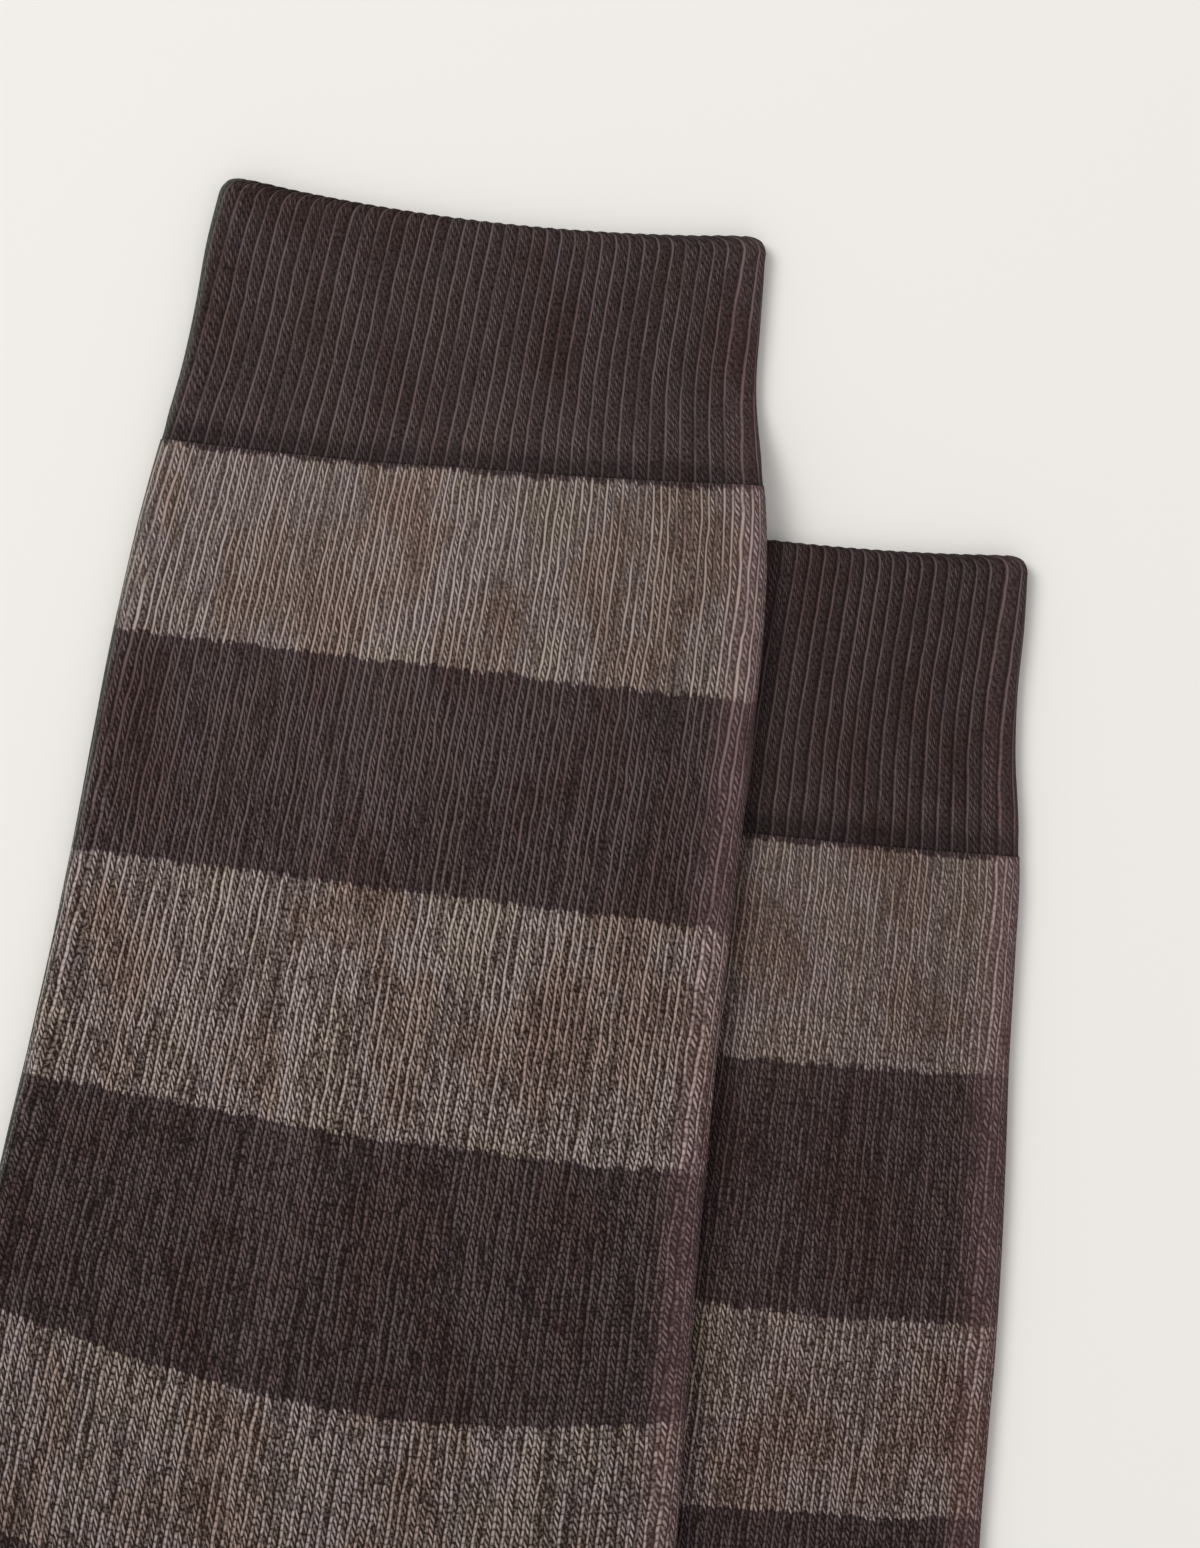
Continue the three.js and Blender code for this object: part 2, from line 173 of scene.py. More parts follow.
def narrowed(down, half_width):
    """Half-width with the mouth's corners rounded and the toe closed as a power curve."""
    rise = np.clip(CORNER_RADIUS - np.maximum(down, 0), 0, CORNER_RADIUS)
    corner = CORNER_RADIUS - np.sqrt(CORNER_RADIUS**2 - rise**2)
    t = np.clip((down - TOE_START) / TOE_LENGTH, 0, 1)
    return (half_width - corner) * np.sqrt(1 - t**TOE_POWER)


def edge_width(sock, down, across):
    """Half-width on the side that across is on, and the level that the row reaches there."""
    bow = read_table(sock["courses"], 1, down)
    slant = read_table(sock["courses"], 2, down)
    level = down - bow * across**2 + slant * across
    left = read_table(sock["widths"], 1, level)
    right = read_table(sock["widths"], 2, level)
    return narrowed(down, np.where(across < 0, left, right)), level


def outline(sock):
    """Closed outline of a sock seen from above: down its right fold and back up its left one."""
    tip = TOE_END - TOE_LENGTH * np.cos(np.linspace(0, np.pi / 2, 16))
    down = np.concatenate([[0, CORNER_RADIUS / 2], np.arange(10, TOE_START, 6), tip])
    sides = []
    for across in (1.0, -1.0):
        half, level = edge_width(sock, down, np.full(len(down), across))
        point, side, _ = middle_line(sock, level)
        sides.append(point + side * (across * half)[:, None])
    return np.concatenate([sides[0], sides[1][::-1]])


both = np.concatenate([outline(LOWER), outline(UPPER)])
SHIFT = (cad_low + cad_high)[:2] / 2 / MM - (both.min(axis=0) + both.max(axis=0)) / 2
for sock in (LOWER, UPPER):
    sock["mouth"] = sock["mouth"] + SHIFT
LOWER_OUTLINE = outline(LOWER)
print("the layout is moved by", np.round(SHIFT, 2), "mm to sit on the packed pair")

# %% [markdown]
# ## Camera
# The picture looks straight down on the table. It is a close-up of the two ribbed cuffs, so the
# legs run out of the bottom of the frame. The lens and the height give a frame 193 mm wide.

# %% Camera
FRAME_HEIGHT = 249.2
LENS = 85.0
SENSOR = 36.0
camera_data = bpy.data.cameras.new("camera")
camera_data.lens = LENS
camera_data.sensor_width = SENSOR
camera = bpy.data.objects.new("camera", camera_data)
bpy.context.collection.objects.link(camera)
camera_height = FLAT_HEIGHT + FRAME_HEIGHT * LENS / SENSOR
camera.location = (SHIFT[0] * MM, SHIFT[1] * MM, camera_height * MM)
bpy.context.scene.camera = camera
bpy.context.scene.view_settings.view_transform = "Standard"
print("the camera is", round(camera_height), "mm above the table")

# %% [markdown]
# ## How the upper sock climbs over the lower one
# The upper sock lies partly on the table and partly on its neighbour, so its height follows the
# distance from the neighbour's outline. That distance is the shortest one to any edge of the
# outline, with its sign set by whether the point is inside.

# %% Height of the upper sock over the lower one
REST_GAP = 0.45
RIB_HEIGHT = 0.35
DRAPE_START = -21.0
DRAPE_END = -5.0
LIFT_HEIGHT = 2 * FOLD_RADIUS + RIB_HEIGHT + REST_GAP


def smooth(value, low, high):
    """0 below low, 1 above high, and an even S curve between."""
    t = np.clip((value - low) / (high - low), 0, 1)
    return t * t * (3 - 2 * t)


def depth_inside(polygon, points):
    """Distance of each point to the polygon's edge, positive inside it."""
    nearest = np.full(len(points), np.inf)
    inside = np.zeros(len(points), bool)
    for a, b in zip(polygon, np.roll(polygon, -1, axis=0)):
        edge, reach = b - a, points - a
        t = np.clip(reach @ edge / max(edge @ edge, 1e-12), 0, 1)
        nearest = np.minimum(nearest, np.linalg.norm(reach - t[:, None] * edge, axis=1))
        if a[1] != b[1]:
            crosses = (a[1] > points[:, 1]) != (b[1] > points[:, 1])
            inside ^= crosses & (points[:, 0] < a[0] + (points[:, 1] - a[1]) / edge[1] * edge[0])
    return np.where(inside, nearest, -nearest)


def lift(sock, points):
    """How far the sock is raised at each point by the one under it."""
    if sock is LOWER:
        return np.zeros(points.shape[:-1])
    depth = depth_inside(LOWER_OUTLINE, points.reshape(-1, 2)).reshape(points.shape[:-1])
    return LIFT_HEIGHT * smooth(depth, DRAPE_START, DRAPE_END)


print("the upper sock is lifted by up to", round(LIFT_HEIGHT, 2), "mm")

# %% [markdown]
# ## Columns and rows of stitches
# A knitter calls a column of stitches a wale and a row of them a course. Each face of this sock
# has 80 wales, so the tube has 160, and a course is 1.2 mm tall. The columns of the mesh follow
# the wales. The wales drift a little round the leg as they go down, because a knitted tube
# always twists slightly. The mesh's UV map counts wales and courses, so that a material can
# draw single stitches.

# %% A ring of knitting at each place down the sock
FACE_WALES = 80
ROUND_WALES = 2 * FACE_WALES
COURSE = 1.2
# Columns: distance down, how far the wales have drifted, in hundredths of a face
TWIST_ROWS = [(0, 0.0), (40, 2.0), (240, 7.5), (TOE_END, 7.5)]
TOP_ROUNDING = 4.6
UNDER_ROUNDING = 1.8
TIP_ROUNDING = 4.5
LEAST_HALF_WIDTH = 0.3


def place_round(down, wale):
    """Wales from the left fold to each wale, at each place down, after the tube's twist."""
    twist = read_table(TWIST_ROWS, 1, down)[:, None]
    return np.mod(wale[None, :] - twist * FACE_WALES / 100, ROUND_WALES)


def waviness(points, seed):
    """Soft unevenness from -1 to 1: four sine waves with seeded directions, 25 to 70 mm long."""
    rng = np.random.default_rng(seed)
    total = np.zeros(points.shape[:-1])
    for _ in range(4):
        angle, phase = rng.uniform(0, 2 * np.pi, 2)
        length = rng.uniform(25, 70)
        along = points @ np.array([np.cos(angle), np.sin(angle)])
        total += np.sin(2 * np.pi * along / length + phase) / 4
    return total


WAVE_HEIGHT = 0.12
HALF_FACE = 50.0
# Where a painted sheen stands for fibres seen edge on: this far in from a fold, and down to the
# ankle
SHEEN_REACH = 12.0
SHEEN_ENDS = (240, 300)

# Each crease runs from one place to another, given as mm down and share across, and has a
# depth and a half-width in mm. Those at the ankle fan out from the instep to the heel.
ANKLE_CREASES = [
    (346, -0.93, 352, -0.2, 0.5, 3.4), (362, -0.95, 368, -0.1, 0.55, 3.0),
    (381, -0.93, 390, -0.25, 0.5, 3.6), (330, -0.9, 322, -0.35, 0.35, 4.5),
    (405, -0.8, 424, -0.3, 0.3, 5.0),
]
LEG_CREASES = [
    (96, -0.42, 172, -0.33, 0.22, 3.2), (118, 0.22, 214, 0.3, 0.2, 4.0),
    (150, -0.72, 236, -0.6, 0.3, 3.5), (205, 0.62, 300, 0.7, 0.25, 4.5),
    (250, -0.2, 318, -0.05, 0.35, 5.5),
]


def creasing(down, across):
    """Depth of the creases: a bell-shaped trough about each line, which fades at its ends."""
    total = 0 * across
    for d0, a0, d1, a1, depth, width in ANKLE_CREASES + LEG_CREASES:
        along = np.array([d1 - d0, (a1 - a0) * HALF_FACE])
        x, y = down - d0, (across - a0) * HALF_FACE
        t = np.clip((x * along[0] + y * along[1]) / (along @ along), 0, 1)
        off = np.hypot(x - t * along[0], y - t * along[1])
        total = total - depth * np.exp(-((off / width) ** 2)) * np.sin(np.pi * (0.1 + 0.8 * t))
    return total


def rings(sock, down, wale, inset=0.0, relief=0.0, wave=0.0, scallop=0.0):
    """Points of the flat tube, one ring for each place down it, one point for each wale.

    Going round, the top face comes first, from the left fold to the right one, then the
    underside. A point's way from the middle is its share of the face's length. Past the flat
    part it goes on round a quarter ellipse, so that stitches crowd at the fold. inset moves
    a ring in from the outside of the cloth, relief is added along the outward direction, and
    scallop moves a point down the sock. A second array tells how near each point is to a
    fold: 0 from 12 mm inside it, up to 1 at the right one and down to -1 at the left one.
    """
    inset = np.broadcast_to(inset, down.shape)[:, None]
    place = place_round(down, wale)
    down = down[:, None]
    top = place < FACE_WALES
    across = np.where(top, 2 * place / FACE_WALES - 1, 3 - 2 * place / FACE_WALES)
    half, level = edge_width(sock, down + 0 * across, across)
    half = np.maximum(half - inset, LEAST_HALF_WIDTH)
    rounding = np.minimum(np.where(top, TOP_ROUNDING, UNDER_ROUNDING) - inset, 0.8 * half)
    rise = FOLD_RADIUS - inset
    spread = (rounding - rise) ** 2 / (rounding + rise) ** 2
    quarter = np.pi / 4 * (rounding + rise) * (1 + spread / 4)
    way = np.abs(across) * (half - rounding + quarter)
    angle = np.clip((way - half + rounding) / quarter, 0, 1) * np.pi / 2
    out = np.where(angle > 0, half - rounding + rounding * np.sin(angle), way)
    puff = FOLD_PUFF * (1 - smooth(half - out, 0, FOLD_REACH))
    top_rise = FLAT_HEIGHT - inset + puff - FOLD_RADIUS
    height = np.where(top, top_rise, -rise) * np.cos(angle)
    bump = relief * np.where(top, 1, np.sin(angle))
    out = out + bump * np.sin(angle)
    height = height + bump * np.cos(angle) * top
    tip = np.clip((down - TOE_END + TIP_ROUNDING) / (TIP_ROUNDING - 0.2), 0, 0.999)
    height = height * np.sqrt(1 - tip**2)
    point, side, _ = middle_line(sock, level + scallop)
    flat = point + side * (np.sign(across) * out)[..., None]
    soft = WAVE_HEIGHT * waviness(flat, sock["seed"]) + creasing(down, across)
    soft = wave * soft * top * np.cos(angle)
    z = FOLD_RADIUS + height + soft + lift(sock, flat)
    # The fold mark places the painted sheen along the folds
    near_fold = np.sign(across) * np.clip(1 - (half - out) / SHEEN_REACH, 0, 1)
    near_fold = near_fold * (1 - smooth(down, *SHEEN_ENDS))
    return np.concatenate([flat, z[..., None]], axis=-1), near_fold


test, _ = rings(UPPER, np.array([100.0]), np.arange(ROUND_WALES))
print("at 100 mm down, the upper sock is", round(np.ptp(test[0, :, 0]), 1), "mm wide")

# %% [markdown]
# ## A closed shell from rings
# A piece of tube is drawn as one long strip of rings: up the outside, round the lip at its
# mouth, and down the inside. Where the strip's end meets its start the wall is closed, and a
# toe closes on a point instead. The faces and the UV map come from index arrays, and
# foreach_set hands them to Blender in one go.

# %% Rings to mesh
def shell(name, strip, wale, course, marks, closed_tip=False):
    """Mesh from an array of rings: a four-sided face for each step along and round.

    course holds each ring's place in the UV map. A closed tip gets a fan of three-sided
    faces at both ends of the strip. marks are named numbers for each point, kept on the mesh
    for the material.
    """
    rows, columns = strip.shape[:2]
    index = np.arange(rows * columns).reshape(rows, columns)
    ends = index if closed_tip else np.vstack([index, index[:1]])
    height = course if closed_tip else np.append(course, course[0])
    here, there = ends[:-1], ends[1:]
    quads = np.stack([here, there, np.roll(there, -1, 1), np.roll(here, -1, 1)], -1)
    u_here = np.broadcast_to(wale, here.shape)
    u_next = np.broadcast_to(np.append(wale[1:], wale[0] + ROUND_WALES), here.shape)
    v_here = np.broadcast_to(height[:-1, None], here.shape)
    v_next = np.broadcast_to(height[1:, None], here.shape)
    u = np.stack([u_here, u_here, u_next, u_next], -1)
    v = np.stack([v_here, v_next, v_next, v_here], -1)
    points = strip.reshape(-1, 3)
    loops, uv = quads.reshape(-1), np.stack([u, v], -1).reshape(-1, 2)
    sizes = np.full(len(loops) // 4, 4)
    if closed_tip:
        poles = [strip[0].mean(axis=0), strip[-1].mean(axis=0)]
        for ring, pole, level, order in ((0, 0, course[0], 1), (-1, 1, course[-1], -1)):
            around = index[ring]
            fan = np.stack([np.full(columns, len(points)), around, np.roll(around, -1)], -1)
            fan_u = np.stack([wale, wale, u_next[0]], -1)
            points = np.vstack([points, poles[pole]])
            loops = np.append(loops, fan[:, ::order].reshape(-1))
            fan_uv = np.stack([fan_u[:, ::order], np.full(fan_u.shape, level)], -1)
            uv = np.vstack([uv, fan_uv.reshape(-1, 2)])
            sizes = np.append(sizes, np.full(columns, 3))
    starts = np.append(0, np.cumsum(sizes)[:-1])
    mesh = bpy.data.meshes.new(name)
    mesh.vertices.add(len(points))
    mesh.vertices.foreach_set("co", (points * MM).astype(np.float32).ravel())
    mesh.loops.add(len(loops))
    mesh.loops.foreach_set("vertex_index", loops.astype(np.int32))
    mesh.polygons.add(len(sizes))
    mesh.polygons.foreach_set("loop_start", starts.astype(np.int32))
    mesh.uv_layers.new(name="Knit").data.foreach_set("uv", uv.astype(np.float32).ravel())
    mesh.update(calc_edges=True)
    for mark, given in marks.items():
        values = np.broadcast_to(given, strip.shape[:2]).reshape(-1)
        values = np.append(values, np.full(len(points) - len(values), values[0]))
        layer = mesh.attributes.new(mark, "FLOAT", "POINT")
        layer.data.foreach_set("value", values.astype(np.float32))
    mesh.validate()
    face = points[quads.reshape(-1, 4)]
    volume = np.einsum("ij,ij->", face[:, 0], np.cross(face[:, 1], face[:, 2]))
    volume += np.einsum("ij,ij->", face[:, 0], np.cross(face[:, 2], face[:, 3]))
    if volume < 0:
        mesh.flip_normals()
    mesh.shade_smooth()
    piece = bpy.data.objects.new(name, mesh)
    bpy.context.collection.objects.link(piece)
    print(name, "has", len(sizes), "faces")
    return piece


# %% [markdown]
# ## The knitted relief
# The cuff is a one-by-one rib: every second wale stands forward and the ones between sink back,
# which is what makes a cuff springy. The leg is plain knitting, where each wale is a low ridge.
# Both are worked out from the wale count, so the ridges follow the twist of the tube.

# %% Relief of the rib and of plain knitting
def fold_share(part, rise_at, fall_at, softness):
    """1 between two places of a repeat and 0 outside them, with soft sides."""
    up = smooth(part, rise_at - softness, rise_at + softness)
    return up * (1 - smooth(part, fall_at - softness, fall_at + softness))


RIB_RELIEF = 0.22
PLAIN_RELIEF = 0.16


def rib_relief(wale, down, cuff):
    """Height of the rib: a ridge on every second wale, which sinks away above the seam."""
    ridge = fold_share(np.mod(wale / 2, 1), 0.1, 0.8, 0.14)[None, :]
    fade = 1 - smooth(down, cuff - 5, cuff - 0.5)[:, None]
    return RIB_RELIEF * ridge * fade


def plain_relief(wale, down):
    """Height of plain knitting: a low ridge on each wale with a groove beside it."""
    ridge = fold_share(np.mod(wale, 1), 0.12, 0.85, 0.12)[None, :]
    return PLAIN_RELIEF * ridge + 0 * down[:, None]


def stripe_depth(sock, down):
    """How far inside a taupe stripe a place down the leg is, in mm, and below 0 in a dark one."""
    edges = np.array(sock["stripes"])
    away = np.abs(down[:, None] - edges[None, :]).min(axis=1)
    taupe = np.searchsorted(edges, down, side="right") % 2 == 1
    return np.where(taupe, away, -away)


TURN_LENGTH = TURN_END - LEG_LENGTH
# Corners of the heel pocket: share of the heel turn, and share across the face
HEEL_CORNERS = [(0.5, -0.08), (0.06, 1.25), (0.5, 1.9), (0.94, 1.25)]


def heel_depth(sock, points):
    """Distance inside the heel pocket's outline on a face, in mm, and below 0 outside it.

    On the face the pocket is a wedge: its tip is in the middle of the ankle, and the lines
    from there to the heel's outside are the gores, where the rows turn back.
    """
    corners = []
    for share, across in HEEL_CORNERS:
        down = np.array([LEG_LENGTH + share * TURN_LENGTH])
        half, _ = edge_width(sock, down, np.array([across]))
        point, side, _ = middle_line(sock, down)
        corners.append((point + side * across * half[:, None])[0])
    flat = points[..., :2].reshape(-1, 2)
    return depth_inside(np.array(corners), flat).reshape(points.shape[:2])


def wale_columns(first, last, per_wale):
    """Wale counts from first to last, with per_wale mesh columns on each."""
    return first + np.arange(round((last - first) * per_wale)) / per_wale


print("the ribs stand", RIB_RELIEF, "mm high, and the heel turn is", round(TURN_LENGTH), "mm long")

# %% [markdown]
# ## Yarns and nodes
# The socks are fine spun cotton in two colours, a brown-black and a taupe. Cotton yarn is matt and
# slightly hairy, so it has no highlight, and its loose fibres soften every edge. A picture of
# knitting could be laid on the socks, but it would blur close up and repeat. Shader nodes draw
# the stitches instead, from the UV map, which counts them, so they are sharp at any distance.
# One small function adds a node, and the two after it stand for steps that come up often.
#
# Sockets are given by number where a node has several of one name. On Map Range, 1 and 2 are the
# span that is read and 3 and 4 what it becomes. On Mix, 0 is the share, 2 and 3 are two numbers,
# and 6 and 7 two colours. On Math, 0, 1 and 2 are the numbers in the order of the sum.

# %% Functions that add nodes, and one for colours
def add(tree, kind, links=None, stops=(), **settings):
    """Adds a shader node. links feeds its sockets from nodes, sockets or plain values.

    stops are the places and colours of a colour ramp, which has its first two already.
    """
    node = tree.nodes.new("ShaderNode" + kind)
    for name, value in settings.items():
        setattr(node, name, value)
    for i, (at, colour) in enumerate(stops):
        elements = node.color_ramp.elements
        stop = elements[i] if i < 2 else elements.new(at)
        stop.position = at
        stop.color = colour
    for socket, source in (links or {}).items():
        if isinstance(source, bpy.types.Node):
            tree.links.new(source.outputs[0], node.inputs[socket])
        elif isinstance(source, bpy.types.NodeSocket):
            tree.links.new(source, node.inputs[socket])
        else:
            node.inputs[socket].default_value = source
    return node


def apart(tree, value, place):
    """How far a value is from a place, on either side of it."""
    away = add(tree, "Math", {0: value, 1: place}, operation="SUBTRACT")
    return add(tree, "Math", {0: away}, operation="ABSOLUTE")


def uneven(tree, where, rate, detail=2.0):
    """Random values about 0.5 that change softly, at a rate for each wale and each course."""
    scaled = add(tree, "VectorMath", {0: where, 1: (*rate, 1)}, operation="MULTIPLY")
    return add(tree, "TexNoise", {"Vector": scaled, "Scale": 1.0, "Detail": detail})


def linear(hex_colour):
    """sRGB hex to linear RGBA."""
    parts = np.array([int(hex_colour[i:i + 2], 16) for i in (1, 3, 5)]) / 255
    low = parts / 12.92
    high = ((parts + 0.055) / 1.055) ** 2.4
    return (*np.where(parts < 0.04045, low, high), 1.0)


print("the dark yarn's deepest colour is", np.round(linear(UPPER["dark_shaded"])[:3], 4))

# %% [markdown]
# ## Where each stitch lies
# On plain knitting the eye sees a thin light line for each wale, where one leg of every stitch
# lines up with the next, and short strokes leaning the other way between the lines, where the
# other legs are. On the rib one repeat is two wales, and its strokes break into short dashes.
# Nothing on real knitting is quite straight, so the lines sway together with their neighbours
# and then each wanders a little by itself.

# %% The two knits, and the places of their stitches
# All places and widths are shares of one repeat, counted from its left
# One entry sets how strong the painted sheen is at the right fold
STITCH = {
    "plain": {"wales": 1.0, "line": 0.22, "line_width": 0.24, "lean": 0.475, "from": 0.4,
              "dashes": 1.0, "sway": 0.6, "wander": 0.13, "faint": 0.3, "stroke": 1.12,
              "fold_sheen": 0.34, "hair": 0.27, "ground": 0.03, "stagger": 6.0, "contrast": 0.8},
    "rib": {"wales": 2.0, "line": 0.15, "line_width": 0.125, "lean": 0.253, "from": 0.22,
            "dashes": 3.0, "sway": 0.4, "wander": 0.045, "faint": 0.45, "stroke": 0.85,
            "fold_sheen": 0.1, "hair": 0.26, "ground": 0.17, "stagger": 12.0, "contrast": 1.0},
}
SWAY_RATE = (0.31, 0.16)
WANDER_RATE = (7.3, 0.13)


def stitch_places(tree, size):
    """Wale and course of each place, the repeat that it is in, and its part of that repeat.

    The lane pairs the repeat's number with the course, so random values read along it are the
    same right across one line of stitches and different on the next.
    """
    uv = add(tree, "UVMap", uv_map="Knit")
    split = add(tree, "SeparateXYZ", {0: uv})
    wale, course = split.outputs["X"], split.outputs["Y"]
    sway = uneven(tree, uv, SWAY_RATE)
    swayed = add(tree, "Math", {0: sway, 1: size["sway"], 2: wale}, operation="MULTIPLY_ADD")
    repeat = add(tree, "Math", {0: swayed, 1: 1 / size["wales"]}, operation="MULTIPLY")
    number = add(tree, "Math", {0: repeat}, operation="FLOOR")
    part = add(tree, "Math", {0: repeat}, operation="FRACT")
    lane = add(tree, "CombineXYZ", {0: number, 1: course})
    wander = uneven(tree, lane, WANDER_RATE)
    most = size["wander"]
    wander = add(tree, "MapRange", {0: wander, 1: 0.25, 2: 0.75, 3: -most, 4: most})
    part = add(tree, "Math", {0: part, 1: wander}, operation="ADD")
    return {"uv": uv, "wale": wale, "course": course, "number": number, "part": part,
            "lane": lane, "wander": wander}


print("a rib repeat has", STITCH["rib"]["wales"], "wales")

# %% [markdown]
# ## The light line of each wale
# Each line is brighter and fainter in stretches, and bundles of neighbouring lines share a
# stretch. Near the cuff the leg is drawn tight and a line is smooth. Lower down, where the knit
# is less stretched, the line opens into its single stitches, which show as small beads.

# %% Wale lines
FADE_RATE = (3.7, 0.09)
BUNDLE_RATE = (0.3, 0.025)
BUNDLE_SHARE = 0.6
BRIGHTEST_LINE = 1.6
LINE_CORE = 0.25
BEAD_SEED = 9.0


def wale_line(tree, at, size, opens):
    """Brightness of the wale lines: an S-shaped side to each line, times its fade and beads."""
    width = size["line_width"]
    line = add(
        tree, "MapRange",
        {0: apart(tree, at["part"], size["line"]), 1: LINE_CORE * width, 2: width, 3: 1.0, 4: 0.0},
        interpolation_type="SMOOTHSTEP",
    )
    fade = uneven(tree, at["lane"], FADE_RATE, 4.0)
    bundle = uneven(tree, at["lane"], BUNDLE_RATE)
    fade = add(tree, "Math", {0: bundle, 1: BUNDLE_SHARE, 2: fade}, operation="MULTIPLY_ADD")
    fade = add(
        tree, "MapRange", {0: fade, 1: 0.66, 2: 0.94, 3: size["faint"], 4: BRIGHTEST_LINE},
    )
    line = add(tree, "Math", {0: line, 1: fade}, operation="MULTIPLY")

    # A bead for each course: its own brightness, and painted shade where it meets the next
    row = add(tree, "Math", {0: at["course"]}, operation="FLOOR")
    row_at = add(tree, "CombineXYZ", {0: at["number"], 1: row, 2: BEAD_SEED})
    bead = add(tree, "TexWhiteNoise", {"Vector": row_at})
    bead = add(tree, "MapRange", {0: bead, 1: 0.0, 2: 1.0, 3: 0.3, 4: 1.6})
    share = add(tree, "Math", {0: at["course"]}, operation="FRACT")
    dot = add(
        tree, "MapRange", {0: apart(tree, share, 0.5), 1: 0.18, 2: 0.5, 3: 1.15, 4: 0.3},
        interpolation_type="SMOOTHSTEP",
    )
    bead = add(tree, "Math", {0: bead, 1: dot}, operation="MULTIPLY")
    first, last = opens
    opening = add(tree, "MapRange", {0: at["course"], 1: first, 2: last, 3: 0.1, 4: 1.0})
    bead = add(tree, "Mix", {0: opening, 2: 1.0, 3: bead})
    return add(tree, "Math", {0: line, 1: bead}, operation="MULTIPLY")


print("lines open from course", UPPER["opens"][0], "on the upper sock")

# %% [markdown]
# ## The strokes between the lines
# The other leg of each stitch leans across the gap between two lines. A stroke is one course
# tall, so it can be drawn as the whole number and the rest of a slanted count of courses. The
# whole number also picks a random brightness, because no two strokes catch the light alike.

# %% Strokes
DASH_STEP = 0.37
FAINTEST_STROKE = 0.2
STREAK_RATE = (1.7, 0.045)


def cross_strokes(tree, at, size):
    """Brightness of the strokes, and the random number from 0 to 1 that each stitch has."""
    reach = add(
        tree, "MapRange", {0: at["part"], 1: size["from"], 2: 1.0, 3: 0.0, 4: size["dashes"]},
    )
    dash = add(tree, "Math", {0: reach}, operation="FLOOR")
    along = add(tree, "Math", {0: reach}, operation="FRACT")
    ends = add(
        tree, "MapRange", {0: apart(tree, along, 0.5), 1: 0.28, 2: 0.5, 3: 1.0, 4: 0.1},
        interpolation_type="SMOOTHSTEP",
    )
    slope = add(
        tree, "Math", {0: at["part"], 1: -1 / size["lean"], 2: at["course"]},
        operation="MULTIPLY_ADD",
    )
    slope = add(tree, "Math", {0: dash, 1: DASH_STEP, 2: slope}, operation="MULTIPLY_ADD")
    slope = add(
        tree, "Math", {0: at["wander"], 1: size["stagger"], 2: slope}, operation="MULTIPLY_ADD",
    )
    rest = add(tree, "Math", {0: slope}, operation="FRACT")
    stroke = add(
        tree, "MapRange", {0: apart(tree, rest, 0.5), 1: 0.1, 2: 0.44, 3: 1.0, 4: 0.0},
        interpolation_type="SMOOTHSTEP",
    )
    count = add(tree, "Math", {0: slope}, operation="FLOOR")
    stitch_at = add(tree, "CombineXYZ", {0: at["number"], 1: count, 2: dash})
    random = add(tree, "TexWhiteNoise", {"Vector": stitch_at})
    chance = add(
        tree, "MapRange", {0: random, 1: 0.0, 2: 1.0, 3: FAINTEST_STROKE, 4: size["stroke"]},
    )
    streak = uneven(tree, at["lane"], STREAK_RATE, 3.0)
    streak = add(tree, "MapRange", {0: streak, 1: 0.36, 2: 0.64, 3: 0.4, 4: 1.3})
    for share in (streak, ends, chance):
        stroke = add(tree, "Math", {0: stroke, 1: share}, operation="MULTIPLY")
    return stroke, random


print("each rib stroke breaks into", STITCH["rib"]["dashes"], "dashes")

# %% [markdown]
# ## From stitches to light and shade
# One number says how much of the lit yarn colour shows: 0 in the painted shade deep between the
# stitches and 1 in the painted light on top of them. Loose fibres blur it, the groove beside each
# line lies in its own painted shade, and the contrast grows down the leg, because a knit that is
# stretched thin is flatter.

# %% Light and shade
FIBRE_RATE = (2.6, 2.1)
GROOVE_PLACE = 0.93
PLAIN_GROOVE = 0.52
MIDDLE_TONE = 0.33


def shading(tree, at, size, stitch, groove_depth):
    """How light each place is: stitch plus fibres, times the groove, spread by the contrast."""
    fibre = uneven(tree, at["uv"], FIBRE_RATE, 3.0)
    most = size["hair"]
    fibre = add(tree, "MapRange", {0: fibre, 1: 0.3, 2: 0.7, 3: -most, 4: most}, clamp=False)
    lit = add(tree, "Math", {0: stitch, 1: fibre}, operation="ADD")
    lit = add(tree, "MapRange", {0: lit, 1: -size["ground"], 2: 1.1, 3: 0.0, 4: 1.0})
    off_groove = apart(tree, at["part"], GROOVE_PLACE)
    groove = add(
        tree, "MapRange", {0: off_groove, 1: 0.02, 2: 0.16, 3: 1 - groove_depth, 4: 1.0},
        interpolation_type="SMOOTHSTEP",
    )
    lit = add(tree, "Math", {0: lit, 1: groove}, operation="MULTIPLY")
    contrast = add(
        tree, "MapRange", {0: at["course"], 1: 40.0, 2: 120.0, 3: size["contrast"], 4: 1.15},
    )
    return add(tree, "Mix", {0: contrast, 2: MIDDLE_TONE, 3: lit}, clamp_factor=False)


print("the groove lies at", GROOVE_PLACE, "of a repeat")

# %% [markdown]
# ## Which yarn each stitch has
# On the leg the two yarns change at the stripe edges, which the mesh carries as a depth in mm.
# The edge wavers a little, and each stitch ends in a small point of its own. Along the gores of
# the heel the stitches are drawn in, so they lie in painted shade. The cuff is dark throughout:
# painted shade darkens its lip, and where its last rows draw in, a painted highlight and then
# painted shade stand for the step.

# %% Stripes, and painted light and shade on the gores and the cuff
DRIFT_RATE = (0.16, 0.01)
EDGE_WAVER = -1.8
STITCH_POINT = 0.9
# Places down the cuff as a share of its length, and how bright its painted light and shade are
# there
CUFF_PAINTED_LEVELS = [(0.0, 0.6), (0.03, 0.9), (0.8, 0.9), (0.87, 1.0), (0.92, 0.86), (0.95, 0.58)]


